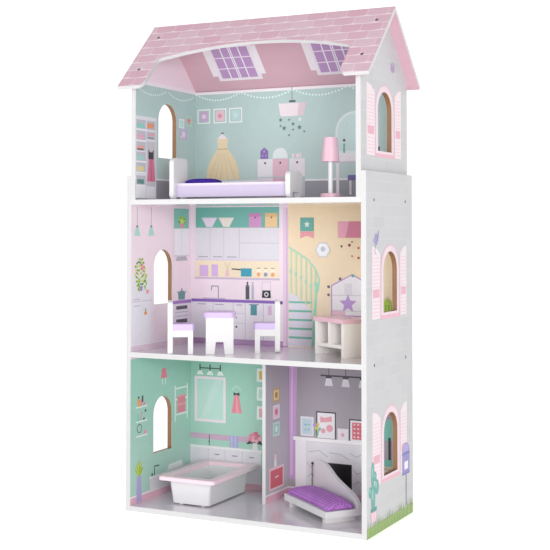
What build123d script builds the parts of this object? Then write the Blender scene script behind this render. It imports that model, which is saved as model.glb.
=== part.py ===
"""Three-storey wooden dollhouse with loose furniture.

Millimetres, +Z up, +Y to the back, +X to the right.  The origin is on the ground in the
middle of the house.  The house stands on its base floor and is open at the front (-Y).
"""
from build123d import *
from math import cos, radians, sin, sqrt
import os

# ---------------------------------------------------------------- driving dimensions
house_width = 620.0         # over the outer faces of the side boards
house_depth = 294.0         # front edge to rear edge of the side boards
storey_pitch = 366.0        # from one floor's top to the next one's
board = 12.0                # side boards, gable walls and floors
seam_drop = 6.0             # a side board's lower edge hangs this far below the floor
parapet_height = 76.0
gable_front_height = 282.0  # from the top floor to a gable wall's corner under the roof
gable_overhang = 15.0       # of the roof past the side boards
eave_overhang = 22.7        # of the roof past the side boards' front and rear edges
roof_board = 9.0

partition_board = 9.0
partition_depth = 126.0     # from the back panel forwards
partition_x = -20.5

back_board = 3.0
back_inset = 5.0            # from the side boards' rear edge to the back panel
groove_depth = 4.0
groove_clearance = 0.1      # on each side of a back panel in its groove

window_width = 86.0
window_height = 137.0
window_sill = 107.0         # above its floor

arch_margin = 71.0          # cut-out in the front roof panel, from the roof's end to its side
arch_crown = 95.0           # from the ridge, down the slope
arch_shoulder = 134.0
arch_corner = 13.0
arch_foot = 11.0

screw_radius = 2.0
screw_head_radius = 4.0
screw_length = 35.0
screw_recess_radius = 1.6
screw_recess_depth = 1.6
screw_inset = 47.0          # all insets are from the front and rear edges of a side board
roof_screw_from_ridge = 48.0
roof_screw_from_eave = 64.0
gable_screw_inset = 77.0
dowel_inset = 87.0
back_screw_radius = 1.25
back_screw_head_radius = 3.0
back_screw_head_height = 1.2
back_screw_length = 15.0
dowel_radius = 3.0
dowel_length = 30.0

standing_gap = 0.2          # furniture to floor, and loose soft pieces to their furniture

# A place is a share of the inner half width, a share of the half depth, and a turn in degrees.
furniture_board = 12.0
thin_board = 9.0

bed_length = 319.0
bed_depth = 64.0
bed_head_height = 99.0
bed_foot_height = 62.0
bed_rail_height = 26.0
bed_rail_lift = 5.0
bed_rail_setback = 11.0
bed_base_thickness = 7.0
bed_base_setback = 5.0
bed_leg_width = 12.0
bed_arch_height = 14.0
bed_place = (-0.136, -0.680, 0)
pillow_size = (90.0, 30.0, 10.5)
pillow_gap = 18.0           # from the headboard

lamp_height = 137.0
lamp_base_radius = 23.0
lamp_base_height = 10.0
lamp_pole_radius = 5.5
lamp_shade_height = 55.0
lamp_shade_bottom = 20.5
lamp_shade_top = 15.5
lamp_socket_depth = 5.0
lamp_place = (0.669, -0.592, 0)

table_size = 76.0
table_height = 99.0
table_top_thickness = 12.5
table_corner = 14.0
table_panel_width = 65.0
table_panel_inset = 5.5
table_notch_height = 29.0
table_notch_foot = 25.0
table_notch_head = 17.5
table_stretcher_height = 24.0
table_place = (-0.326, -0.473, 28.8)

chair_height = 125.0
chair_width = 52.0
chair_depth = 60.0
chair_seat_top = 71.0
chair_seat_thickness = 15.0
chair_seat_overhang = 3.5
chair_apron_height = 16.0
chair_leg_width = 12.0
chair_corner = 8.0
chair_apron_inset = 2.0
left_chair_place = (-0.600, -0.782, 30.6)
right_chair_place = (-0.021, 0.023, 206.9)

sideboard_length = 123.0
sideboard_depth = 70.0
sideboard_height = 88.0
sideboard_panel = 10.0
sideboard_top_thickness = 10.0
sideboard_overhang = 3.0
sideboard_shelf_height = 20.0
sideboard_shelf_thickness = 8.0
sideboard_back_thickness = 4.0
sideboard_place = (0.611, 0.109, -33.7)

tub_rim_size = (153.0, 238.0)
tub_rim_corner = 9.0
tub_rim_thickness = 9.0
tub_opening_size = (108.0, 192.0)
tub_opening_corner = 7.0
tub_top_size = (114.0, 200.0)
tub_bottom_size = (101.0, 190.0)
tub_corner = 8.0
tub_height = 68.0
tub_wall = 4.0
tub_floor = 5.0
tub_foot_height = 3.0
tub_foot_radius = 5.0
tub_foot_inset = 20.0
tub_x_share = -0.572
tub_wall_gap = 6.0          # from its rim to the back panel

chaise_length = 215.0
chaise_width = 90.0
chaise_seat_height = 29.0
chaise_platform = 15.0
chaise_leg_inset = 15.0
chaise_leg_side_inset = 6.0
chaise_back_height = 76.0
chaise_back_low = 33.0      # where the swept back nearly levels out
chaise_back_end = 8.0
chaise_back_flat = 30.0
chaise_back_corner = 18.0
chaise_cushion_thickness = 21.0
chaise_cushion_margin = 3.0
chaise_place = (0.479, -0.086, -38.9)

# ---------------------------------------------------------------- worked out from them
inner_half = house_width / 2 - board
gable_half = inner_half - board
front_y = -house_depth / 2
rear_y = house_depth / 2
back_face_y = rear_y - back_inset - back_board
floor_tops = [board + storey * storey_pitch for storey in range(3)]
base_top, middle_top, top_top = floor_tops
lower_seam = middle_top - board - seam_drop
upper_seam = top_top - board - seam_drop
parapet_top = upper_seam + parapet_height
roof_underside = top_top + gable_front_height + house_depth / 2   # at the middle of the depth
ridge_height = roof_underside + roof_board * sqrt(2)
roof_length = house_width + 2 * gable_overhang
roof_slope = (house_depth / 2 + eave_overhang) * sqrt(2)   # ridge to eave, on the outer face
roof_screw_steps = (roof_screw_from_ridge, roof_slope - roof_screw_from_eave)
arch_half_width = roof_length / 2 - arch_margin
floor_depth = back_face_y - front_y
screw_y = house_depth / 2 - screw_inset
gable_screw_y = house_depth / 2 - gable_screw_inset
dowel_y = house_depth / 2 - dowel_inset
gable_x = inner_half - board / 2
tub_y = back_face_y - tub_wall_gap - tub_rim_size[1] / 2
tub_place = (tub_x_share, tub_y / (house_depth / 2), 0)

house_pieces = {}
furniture_pieces = {}


def keep(pieces, name, part):
    """Label a finished piece and put it by for the export."""
    part.label = name
    pieces[name] = part


def placed(part, place, ground):
    """A piece of furniture turned about Z and stood on its floor."""
    x_share, y_share, turn = place
    spot = (x_share * inner_half, y_share * house_depth / 2, ground + standing_gap)
    return part.moved(Location(spot, (0, 0, turn)))


# ---------------------------------------------------------------- floors and partition
def floor_board(top):
    with BuildPart() as floor:
        with BuildSketch(Plane.XY.offset(top - board)):
            with Locations((0, (front_y + back_face_y) / 2)):
                Rectangle(2 * inner_half, floor_depth)
        extrude(amount=board)
        for side in (-1, 1):
            with Locations(*[
                Location((side * inner_half, y, top - board / 2), (0, 90 * side, 0))
                for y in (-screw_y, screw_y)
            ]):
                Hole(screw_radius, depth=screw_length - board)
        with Locations(*[
            Location((x, back_face_y, top - board / 2), (-90, 0, 0)) for x in back_screw_xs
        ]):
            Hole(back_screw_radius, depth=back_screw_length - back_board)
    return floor.part


back_screw_xs = [step * house_width / 3.1 for step in (-1, 0, 1)]
partition_screw_ys = [back_face_y - partition_depth * share for share in (0.25, 0.75)]
partition_height = middle_top - board - base_top
countersink_angle = 90.0


def screw_ends(points, turn, depth):
    """Countersunk screw holes at points, cut along the turned -Z direction."""
    with Locations(*[Location(point, turn) for point in points]):
        CounterSinkHole(screw_radius, screw_head_radius, depth=depth,
                        counter_sink_angle=countersink_angle)


with BuildPart() as base_floor:
    add(floor_board(base_top))
    screw_ends([(partition_x, y, 0) for y in partition_screw_ys], (180, 0, 0), board)
keep(house_pieces, "base_floor", base_floor.part)

with BuildPart() as middle_floor:
    add(floor_board(middle_top))
    screw_ends([(partition_x, y, middle_top) for y in partition_screw_ys], (0, 0, 0), board)
keep(house_pieces, "middle_floor", middle_floor.part)

with BuildPart() as top_floor:
    add(floor_board(top_top))
    screw_ends([(side * gable_x, y, top_top - board) for side in (-1, 1)
                for y in (-gable_screw_y, gable_screw_y)], (180, 0, 0), board)
keep(house_pieces, "top_floor", top_floor.part)

with BuildPart() as partition_wall:
    with BuildSketch(Plane.XY.offset(base_top)):
        with Locations((partition_x, back_face_y - partition_depth / 2)):
            Rectangle(partition_board, partition_depth)
    extrude(amount=partition_height)
    for y in partition_screw_ys:
        with Locations(Location((partition_x, y, base_top), (180, 0, 0)),
                       Location((partition_x, y, middle_top - board))):
            Hole(screw_radius, depth=screw_length - board)
keep(house_pieces, "partition_wall", partition_wall.part)


# ---------------------------------------------------------------- side boards and gable walls
def arched_window(sill):
    """The window outline in a YZ sketch: straight jambs under a half-round head."""
    half = window_width / 2
    springing = sill + window_height - half
    with BuildLine() as outline:
        Polyline((half, springing), (half, sill), (-half, sill), (-half, springing))
        RadiusArc((-half, springing), (half, springing), half)
    make_face(outline.edges(), mode=Mode.SUBTRACT)


def back_groove(inner_x, side, bottom, top):
    """The groove for a back panel, cut into a wall whose inner face is at inner_x."""
    width = back_board + 2 * groove_clearance
    with BuildSketch(Plane.XY.offset(bottom)) as slot:
        with Locations((side * (inner_x + groove_depth / 2), back_face_y + back_board / 2)):
            Rectangle(groove_depth, width)
    extrude(slot.sketch, amount=top - bottom, mode=Mode.SUBTRACT)


def side_board(side, bottom, top, floor_top, groove_top, has_window):
    """One board of a stacked side wall, with its screw holes into a floor's end."""
    with BuildPart() as wall:
        with BuildSketch(Plane.YZ.offset(side * house_width / 2)):
            with Locations((0, (bottom + top) / 2)):
                Rectangle(house_depth, top - bottom)
            if has_window:
                arched_window(floor_top + window_sill)
        extrude(amount=-side * board)
        back_groove(inner_half, side, bottom, groove_top)
        screw_ends([(side * house_width / 2, y, floor_top - board / 2)
                    for y in (-screw_y, screw_y)], (0, 90 * side, 0), board)
        seams = [z for z in (lower_seam, upper_seam) if z in (bottom, top)]
        for seam in seams:
            with Locations(*[
                Location((side * (inner_half + board / 2), y, seam), (0 if seam == top else 180, 0, 0))
                for y in (-dowel_y, dowel_y)
            ]):
                Hole(dowel_radius, depth=dowel_length / 2)
    return wall.part


def gable_wall(side):
    eave_z = top_top + gable_front_height
    with BuildPart() as wall:
        with BuildSketch(Plane.YZ.offset(side * inner_half)):
            with BuildLine():
                Polyline((front_y, top_top), (front_y, eave_z), (0, roof_underside),
                         (rear_y, eave_z), (rear_y, top_top), close=True)
            make_face()
            arched_window(top_top + window_sill)
        extrude(amount=-side * board)
        back_groove(gable_half, side, top_top, upper_back_top)
        with Locations(*[
            Location((side * gable_x, y, top_top), (180, 0, 0)) for y in (-gable_screw_y, gable_screw_y)
        ]):
            Hole(screw_radius, depth=screw_length - board)
        for slope in (-1, 1):
            with Locations(*[
                Location((side * gable_x, *roof_point(slope, step, roof_board)), (-45 * slope, 0, 0))
                for step in roof_screw_steps
            ]):
                Hole(screw_radius, depth=screw_length - roof_board)
    return wall.part


def roof_point(slope, step, depth):
    """Y and Z of a point down the slope from the ridge and depth below the outer face.
    slope is -1 on the front panel and 1 on the rear panel."""
    y = slope * (step - depth) / sqrt(2)
    z = ridge_height - (step + depth) / sqrt(2)
    return y, z


upper_back_top = roof_underside - (back_face_y + back_board)
side_names = {-1: "left", 1: "right"}

for side, word in side_names.items():
    keep(house_pieces, f"lower_side_board_{word}",
         side_board(side, 0.0, lower_seam, base_top, lower_seam, True))
    keep(house_pieces, f"middle_side_board_{word}",
         side_board(side, lower_seam, upper_seam, middle_top, upper_seam, True))
    keep(house_pieces, f"parapet_board_{word}",
         side_board(side, upper_seam, parapet_top, top_top, top_top, False))
    keep(house_pieces, f"gable_wall_{word}", gable_wall(side))


# ---------------------------------------------------------------- back panels
def back_panel(half_width, bottom, top, screw_z):
    reach = half_width + groove_depth - groove_clearance
    with BuildPart() as panel:
        with BuildSketch(Plane.XZ.offset(-back_face_y)):
            with Locations((0, (bottom + top) / 2)):
                Rectangle(2 * reach, top - bottom)
        extrude(amount=-back_board)
        for z in screw_z:
            with Locations(*[
                Location((x, back_face_y + back_board, z), (-90, 0, 0)) for x in back_screw_xs
            ]):
                Hole(back_screw_radius, depth=back_board)
    return panel.part


keep(house_pieces, "back_panel_lower",
     back_panel(inner_half, 0.0, middle_top, [base_top - board / 2, middle_top - board / 2]))
keep(house_pieces, "back_panel_middle",
     back_panel(inner_half, middle_top, top_top, [top_top - board / 2]))
keep(house_pieces, "back_panel_upper",
     back_panel(gable_half, top_top, upper_back_top, []))


# ---------------------------------------------------------------- roof
def slope_plane(slope):
    """The outer face of a roof panel: local x along the ridge, local y down the slope."""
    return Plane(origin=(0, 0, ridge_height), x_dir=(-slope, 0, 0), z_dir=(0, slope, 1))


def arch_outline():
    """The cut-out of the front panel, open at the eave, with flared feet."""
    crown_rise = arch_shoulder - arch_crown
    chord = arch_half_width - arch_corner
    foot_x = arch_half_width + arch_foot
    for side in (-1, 1):
        Line((side * arch_half_width, -(arch_shoulder + arch_corner)),
             (side * arch_half_width, -(roof_slope - 1.6 * arch_foot)))
        ThreePointArc((side * chord, -arch_shoulder),
                      (side * (chord + 0.77 * arch_corner), -(arch_shoulder + 0.36 * arch_corner)),
                      (side * arch_half_width, -(arch_shoulder + arch_corner)))
        ThreePointArc((side * arch_half_width, -(roof_slope - 1.6 * arch_foot)),
                      (side * (arch_half_width + 0.33 * arch_foot), -(roof_slope - 0.7 * arch_foot)),
                      (side * foot_x, -roof_slope))
    ThreePointArc((-chord, -arch_shoulder), (0, -(arch_shoulder - crown_rise)), (chord, -arch_shoulder))
    Line((-foot_x, -roof_slope), (foot_x, -roof_slope))


def roof_panel(slope, top_step, has_arch):
    """A roof board from top_step below the ridge down to the eave."""
    with BuildPart() as panel:
        with BuildSketch(slope_plane(slope)):
            with Locations((0, -(top_step + roof_slope) / 2)):
                Rectangle(roof_length, roof_slope - top_step)
            if has_arch:
                with BuildLine():
                    arch_outline()
                make_face(mode=Mode.SUBTRACT)
        extrude(amount=-roof_board)
        screw_ends([(side * gable_x, *roof_point(slope, step, 0)) for side in (-1, 1)
                    for step in roof_screw_steps], (-45 * slope, 0, 0), roof_board)
    return panel.part


keep(house_pieces, "front_roof_panel", roof_panel(-1, 0.0, True))
keep(house_pieces, "rear_roof_panel", roof_panel(1, roof_board, False))


# ---------------------------------------------------------------- fasteners
def wood_screw():
    """A countersunk screw with its head's face at z = 0, pointing down."""
    with BuildPart() as screw:
        with BuildSketch(Plane.XZ):
            with BuildLine():
                Polyline((0, 0), (screw_head_radius, 0),
                         (screw_radius, screw_radius - screw_head_radius),
                         (screw_radius, 2 * screw_radius - screw_length), (0, -screw_length),
                         close=True)
            make_face()
        revolve(axis=Axis.Z)
        with BuildSketch():
            RegularPolygon(screw_recess_radius, 6)
        extrude(amount=-screw_recess_depth, mode=Mode.SUBTRACT)
    return screw.part


def back_screw():
    """A small pan-head screw seated on z = 0, pointing down."""
    with BuildPart() as screw:
        with BuildSketch():
            Circle(back_screw_head_radius)
        extrude(amount=back_screw_head_height)
        fillet(screw.faces().sort_by(Axis.Z)[-1].edges(), back_screw_head_height * 0.6)
        with BuildSketch():
            Circle(back_screw_radius)
        extrude(amount=-back_screw_length)
    return screw.part


def dowel():
    with BuildPart() as pin:
        Cylinder(dowel_radius, dowel_length)
        chamfer(pin.edges(), dowel_radius / 4)
    return pin.part


def group(part, locations):
    """Copies of one fastener as a group of separate solids."""
    return Compound(children=[part.moved(location) for location in locations])


roof_screw_places = [
    Location((side * gable_x, *roof_point(slope, step, 0)), (-45 * slope, 0, 0))
    for side in (-1, 1) for slope in (-1, 1) for step in roof_screw_steps
]
floor_screw_places = [
    Location((side * house_width / 2, y, top - board / 2), (0, 90 * side, 0))
    for side in (-1, 1) for y in (-screw_y, screw_y) for top in floor_tops
]
gable_screw_places = [
    Location((side * gable_x, y, top_top - board), (180, 0, 0))
    for side in (-1, 1) for y in (-gable_screw_y, gable_screw_y)
]
partition_screw_places = [
    place for y in partition_screw_ys
    for place in (Location((partition_x, y, 0), (180, 0, 0)), Location((partition_x, y, middle_top)))
]
back_screw_places = [
    Location((x, back_face_y + back_board, top - board / 2), (-90, 0, 0))
    for x in back_screw_xs for top in floor_tops
]
dowel_places = [
    Location((side * (inner_half + board / 2), y, seam))
    for side in (-1, 1) for y in (-dowel_y, dowel_y) for seam in (lower_seam, upper_seam)
]
keep(house_pieces, "roof_screws", group(wood_screw(), roof_screw_places))
keep(house_pieces, "floor_screws", group(wood_screw(), floor_screw_places))
keep(house_pieces, "gable_screws", group(wood_screw(), gable_screw_places))
keep(house_pieces, "partition_screws", group(wood_screw(), partition_screw_places))
keep(house_pieces, "back_panel_screws", group(back_screw(), back_screw_places))
keep(house_pieces, "side_board_dowels", group(dowel(), dowel_places))


# ---------------------------------------------------------------- shared furniture shapes
def box(x0, x1, y0, y1, z0, z1):
    """A plain board between the given faces."""
    with BuildPart() as solid:
        with BuildSketch(Plane.XY.offset(z0)):
            with Locations(((x0 + x1) / 2, (y0 + y1) / 2)):
                Rectangle(x1 - x0, y1 - y0)
        extrude(amount=z1 - z0)
    return solid.part


def end_board(x0, thickness, width, height, leg_width, arch_height, corner):
    """An upright board across local Y with rounded top corners and an arch between its feet."""
    opening = width - 2 * leg_width
    arch_corner_radius = 0.45 * min(opening, arch_height)
    with BuildPart() as upright:
        with BuildSketch(Plane.YZ.offset(x0)) as outline:
            with Locations((0, height / 2)):
                Rectangle(width, height)
            fillet(outline.vertices().group_by(Axis.Z)[-1], corner)
            with BuildSketch(Plane.YZ.offset(x0), mode=Mode.SUBTRACT) as arch:
                with Locations((0, arch_height / 2)):
                    Rectangle(opening, arch_height)
                fillet(arch.vertices().group_by(Axis.Z)[-1], arch_corner_radius)
        extrude(amount=thickness)
    return upright.part


# ---------------------------------------------------------------- bed
def bed():
    half = bed_length / 2
    inner = half - furniture_board
    rail_top = bed_rail_lift + bed_rail_height
    front = -bed_depth / 2 + bed_rail_setback
    base_front = front + bed_base_setback
    pieces = {
        "bed_headboard": end_board(-half, furniture_board, bed_depth, bed_head_height,
                                   bed_leg_width, bed_arch_height, furniture_board),
        "bed_footboard": end_board(inner, furniture_board, bed_depth, bed_foot_height,
                                   bed_leg_width, bed_arch_height, furniture_board),
        "bed_front_rail": box(-inner, inner, front, front + thin_board, bed_rail_lift, rail_top),
        "bed_rear_rail": box(-inner, inner, -front - thin_board, -front, bed_rail_lift, rail_top),
        "bed_base_board": box(-inner, inner, base_front, -base_front, rail_top,
                              rail_top + bed_base_thickness),
    }
    for name, part in pieces.items():
        keep(furniture_pieces, name, placed(part, bed_place, top_top))
    return rail_top + bed_base_thickness, -inner + pillow_gap


def pillow(base, start_x):
    length, width, thickness = pillow_size
    with BuildPart() as pad:
        with BuildSketch(Plane.XY.offset(base + standing_gap)):
            with Locations((start_x + length / 2, 0)):
                RectangleRounded(length, width, thickness / 2)
        extrude(amount=thickness)
        fillet(pad.faces().group_by(Axis.Z)[-1].edges(), thickness * 0.4)
    keep(furniture_pieces, "bed_pillow", placed(pad.part, bed_place, top_top))


pillow(*bed())


# ---------------------------------------------------------------- floor lamp
def turned(points):
    """A turned piece from its half profile in XZ."""
    with BuildPart() as piece:
        with BuildSketch(Plane.XZ):
            with BuildLine():
                Polyline(*points, close=True)
            make_face()
        revolve(axis=Axis.Z)
    return piece.part


def lamp():
    shade_bottom = lamp_height - lamp_shade_height
    pole_foot = lamp_base_height - lamp_socket_depth
    pole_head = lamp_height - lamp_shade_height / 3
    edge = 1.5
    base = turned([(0, 0), (lamp_base_radius, 0), (lamp_base_radius, lamp_base_height - edge),
                   (lamp_base_radius - edge, lamp_base_height), (lamp_pole_radius, lamp_base_height),
                   (lamp_pole_radius, pole_foot), (0, pole_foot)])
    pole = turned([(0, pole_foot), (lamp_pole_radius, pole_foot), (lamp_pole_radius, pole_head),
                   (0, pole_head)])
    shade = turned([(lamp_pole_radius, shade_bottom), (lamp_shade_bottom, shade_bottom),
                    (lamp_shade_top, lamp_height), (0, lamp_height), (0, pole_head),
                    (lamp_pole_radius, pole_head)])
    for name, part in (("lamp_base", base), ("lamp_pole", pole), ("lamp_shade", shade)):
        keep(furniture_pieces, name, placed(part, lamp_place, top_top))


lamp()


# ---------------------------------------------------------------- table
def table():
    panel_height = table_height - table_top_thickness
    panel_y = table_size / 2 - table_panel_inset
    with BuildPart() as top:
        with BuildSketch(Plane.XY.offset(panel_height)):
            RectangleRounded(table_size, table_size, table_corner)
        extrude(amount=table_top_thickness)
        chamfer(top.faces().sort_by(Axis.Z)[-1].edges(), 1.0)
    with BuildPart() as panel:
        with BuildSketch(Plane.XZ.offset(panel_y)):
            with Locations((0, panel_height / 2)):
                Rectangle(table_panel_width, panel_height)
            with BuildLine():
                Polyline((-table_notch_foot / 2, 0), (-table_notch_head / 2, table_notch_height),
                         (table_notch_head / 2, table_notch_height), (table_notch_foot / 2, 0),
                         close=True)
            make_face(mode=Mode.SUBTRACT)
        extrude(amount=-thin_board)
    stretcher_y = panel_y - thin_board
    stretcher = box(-thin_board / 2, thin_board / 2, -stretcher_y, stretcher_y,
                    panel_height - table_stretcher_height, panel_height)
    keep(furniture_pieces, "table_top", placed(top.part, table_place, middle_top))
    keep(furniture_pieces, "table_front_panel", placed(panel.part, table_place, middle_top))
    keep(furniture_pieces, "table_rear_panel",
         placed(panel.part.rotate(Axis.Z, 180), table_place, middle_top))
    keep(furniture_pieces, "table_stretcher", placed(stretcher, table_place, middle_top))


table()


# ---------------------------------------------------------------- chairs
def chair(word, place):
    """A chair that faces its own +X: an upright back board, a front board and a seat."""
    back_x = -chair_depth / 2
    front_x = chair_depth / 2 - furniture_board
    seat_bottom = chair_seat_top - chair_seat_thickness
    apron_bottom = seat_bottom - chair_apron_height
    apron_side = chair_width / 2 - chair_apron_inset
    with BuildPart() as seat:
        with BuildSketch(Plane.XY.offset(seat_bottom)) as outline:
            seat_back = back_x + furniture_board
            seat_front = chair_depth / 2 + chair_seat_overhang
            with Locations(((seat_back + seat_front) / 2, 0)):
                Rectangle(seat_front - seat_back, chair_width)
            fillet(outline.vertices().group_by(Axis.X)[-1], chair_corner)
        extrude(amount=chair_seat_thickness)
        chamfer(seat.faces().sort_by(Axis.Z)[-1].edges(), 1.0)
    pieces = {
        "back": end_board(back_x, furniture_board, chair_width, chair_height,
                          chair_leg_width, apron_bottom, chair_corner),
        "front_board": end_board(front_x, furniture_board, chair_width, seat_bottom,
                                 chair_leg_width, apron_bottom, 0.1),
        "right_apron": box(back_x + furniture_board, front_x, -apron_side,
                           thin_board - apron_side, apron_bottom, seat_bottom),
        "left_apron": box(back_x + furniture_board, front_x, apron_side - thin_board,
                          apron_side, apron_bottom, seat_bottom),
        "seat": seat.part,
    }
    for name, part in pieces.items():
        keep(furniture_pieces, f"{word}_chair_{name}", placed(part, place, middle_top))


chair("left", left_chair_place)
chair("right", right_chair_place)


# ---------------------------------------------------------------- sideboard
def sideboard():
    half = sideboard_length / 2
    front = -sideboard_depth / 2
    rear = sideboard_depth / 2
    underside = sideboard_height - sideboard_top_thickness
    shelf_top = sideboard_shelf_height + sideboard_shelf_thickness
    inner = half - sideboard_panel
    inside_rear = rear - sideboard_back_thickness
    over = sideboard_overhang
    pieces = {
        "top": box(-half - over, half + over, front - over, rear, underside, sideboard_height),
        "left_side": box(-half, -inner, front, rear, 0, underside),
        "right_side": box(inner, half, front, rear, 0, underside),
        "shelf": box(-inner, inner, front, inside_rear, sideboard_shelf_height, shelf_top),
        "divider": box(-sideboard_panel / 2, sideboard_panel / 2, front, inside_rear,
                       shelf_top, underside),
        "back": box(-inner, inner, inside_rear, rear, sideboard_shelf_height, underside),
    }
    for name, part in pieces.items():
        keep(furniture_pieces, f"sideboard_{name}", placed(part, sideboard_place, middle_top))


sideboard()


# ---------------------------------------------------------------- bathtub
def tub_body(bottom_size, top_size, corner, bottom, top, mode=Mode.ADD):
    """A tapered solid between two rounded rectangles."""
    with BuildSketch(Plane.XY.offset(bottom)) as low:
        RectangleRounded(*bottom_size, corner)
    with BuildSketch(Plane.XY.offset(top)) as high:
        RectangleRounded(*top_size, corner)
    loft([low.sketch, high.sketch], mode=mode)


def bathtub():
    rim_bottom = tub_height - tub_rim_thickness
    cavity_bottom = tub_foot_height + tub_floor
    lean = (cavity_bottom - tub_foot_height) / (rim_bottom - tub_foot_height)
    cavity_low = [low + (high - low) * lean - 2 * tub_wall
                  for low, high in zip(tub_bottom_size, tub_top_size)]
    cavity_high = [high - 2 * tub_wall for high in tub_top_size]
    with BuildPart() as shell:
        tub_body(tub_bottom_size, tub_top_size, tub_corner, tub_foot_height, rim_bottom)
        tub_body(cavity_low, cavity_high, tub_corner - tub_wall, cavity_bottom, rim_bottom,
                 Mode.SUBTRACT)
    with BuildPart() as rim:
        with BuildSketch(Plane.XY.offset(rim_bottom)):
            RectangleRounded(*tub_rim_size, tub_rim_corner)
            RectangleRounded(*tub_opening_size, tub_opening_corner, mode=Mode.SUBTRACT)
        extrude(amount=tub_rim_thickness)
        chamfer(rim.faces().sort_by(Axis.Z)[-1].edges(), 1.5)
    foot_x = tub_bottom_size[0] / 2 - tub_foot_inset
    foot_y = tub_bottom_size[1] / 2 - tub_foot_inset / 2
    with BuildPart() as foot:
        with BuildSketch():
            Circle(tub_foot_radius)
        extrude(amount=tub_foot_height)
    feet = group(foot.part, [Location((x, y, 0)) for x in (-foot_x, foot_x) for y in (-foot_y, foot_y)])
    keep(furniture_pieces, "bathtub_shell", placed(shell.part, tub_place, base_top))
    keep(furniture_pieces, "bathtub_rim", placed(rim.part, tub_place, base_top))
    keep(furniture_pieces, "bathtub_feet", placed(feet, tub_place, base_top))


bathtub()


# ---------------------------------------------------------------- chaise longue
def chaise_back():
    """The swept back along the rear edge: high at the left end, low at the right end."""
    left = -chaise_length / 2
    right = chaise_length / 2
    base = chaise_seat_height
    high = base + chaise_back_height
    low = base + chaise_back_low
    end = base + chaise_back_end
    sweep_start = left + chaise_back_flat
    sweep_end = right - 0.2 * chaise_length
    with BuildPart() as back:
        with BuildSketch(Plane.XZ.offset(-chaise_width / 2)):
            with BuildLine():
                Polyline((right, end), (right, base), (left, base), (left, high - chaise_back_corner))
                RadiusArc((left, high - chaise_back_corner), (left + chaise_back_corner, high),
                          chaise_back_corner)
                Line((left + chaise_back_corner, high), (sweep_start, high))
                Spline((sweep_start, high),
                       ((sweep_start + sweep_end) / 2 - 0.02 * chaise_length, (high + low) / 2),
                       (sweep_end, low),
                       (right, end), tangents=((1, 0), (0.45, -1)))
            make_face()
        extrude(amount=thin_board)
    return back.part


def chaise():
    half = chaise_length / 2
    side = chaise_width / 2
    leg_height = chaise_seat_height - chaise_platform
    leg_side = side - chaise_leg_side_inset
    outer = half - chaise_leg_inset
    pieces = {
        "platform": box(-half, half, -side, side, leg_height, chaise_seat_height),
        "left_leg": box(-outer, -outer + furniture_board, -leg_side, leg_side, 0, leg_height),
        "right_leg": box(outer - furniture_board, outer, -leg_side, leg_side, 0, leg_height),
        "backrest": chaise_back(),
    }
    for name, part in pieces.items():
        keep(furniture_pieces, f"chaise_{name}", placed(part, chaise_place, base_top))
    margin = chaise_cushion_margin
    with BuildPart() as pad:
        with BuildSketch(Plane.XY.offset(chaise_seat_height + standing_gap)):
            with Locations((0, -thin_board / 2)):
                RectangleRounded(chaise_length - 2 * margin, chaise_width - thin_board - 2 * margin,
                                 chaise_cushion_thickness / 2)
        extrude(amount=chaise_cushion_thickness)
        fillet(pad.faces().group_by(Axis.Z)[-1].edges(), chaise_cushion_thickness * 0.4)
    keep(furniture_pieces, "chaise_cushion", placed(pad.part, chaise_place, base_top))


chaise()

# ---------------------------------------------------------------- export
os.makedirs("parts", exist_ok=True)
for name, part in {**house_pieces, **furniture_pieces}.items():
    export_step(part, f"parts/{name}.step")
print(len(house_pieces) + len(furniture_pieces), "pieces written")
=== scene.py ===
"""Looks of the three-storey wooden dollhouse: boards, prints, furniture and soft pieces.

Metres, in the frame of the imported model.  Sizes of prints are in millimetres on their wall.
"""
from math import cos, hypot, pi, radians, sin, sqrt, tau

import bpy
from mathutils import Matrix, Vector


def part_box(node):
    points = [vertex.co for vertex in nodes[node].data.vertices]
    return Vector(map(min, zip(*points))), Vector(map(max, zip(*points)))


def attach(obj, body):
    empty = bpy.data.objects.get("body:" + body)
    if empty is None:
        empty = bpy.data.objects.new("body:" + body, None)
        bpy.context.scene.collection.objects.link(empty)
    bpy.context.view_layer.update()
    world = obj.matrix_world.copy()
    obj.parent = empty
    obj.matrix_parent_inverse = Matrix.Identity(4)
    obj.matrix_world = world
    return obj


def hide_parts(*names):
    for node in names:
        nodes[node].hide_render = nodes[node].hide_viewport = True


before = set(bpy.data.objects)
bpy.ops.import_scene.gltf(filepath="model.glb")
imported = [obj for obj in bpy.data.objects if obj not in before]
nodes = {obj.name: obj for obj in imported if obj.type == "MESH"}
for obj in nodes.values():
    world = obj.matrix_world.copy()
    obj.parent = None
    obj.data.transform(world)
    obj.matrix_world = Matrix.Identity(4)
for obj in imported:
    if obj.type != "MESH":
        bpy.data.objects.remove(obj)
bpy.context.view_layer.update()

bpy.ops.object.select_all(action="DESELECT")
MM = 0.001

# ---------------------------------------------------------------- camera and light
# The house is seen from the front and a little from its right, from the height of the middle
# floor's ceiling, with a long lens.  Two soft lights in front and an even pale world light it.
camera_data = bpy.data.cameras.new("camera")
camera_data.lens = 78.93
camera_data.sensor_width = 36.0
camera_data.shift_x = 0.0097
camera_data.shift_y = -0.154
camera_data.clip_end = 50.0
camera = bpy.data.objects.new("camera", camera_data)
camera.location = (1.2963, -2.5978, 0.6714)
camera.rotation_euler = (pi / 2 + 0.0328, 0.0, 0.4624)
bpy.context.scene.collection.objects.link(camera)
bpy.context.scene.camera = camera
bpy.context.scene.view_settings.view_transform = "Standard"


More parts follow.
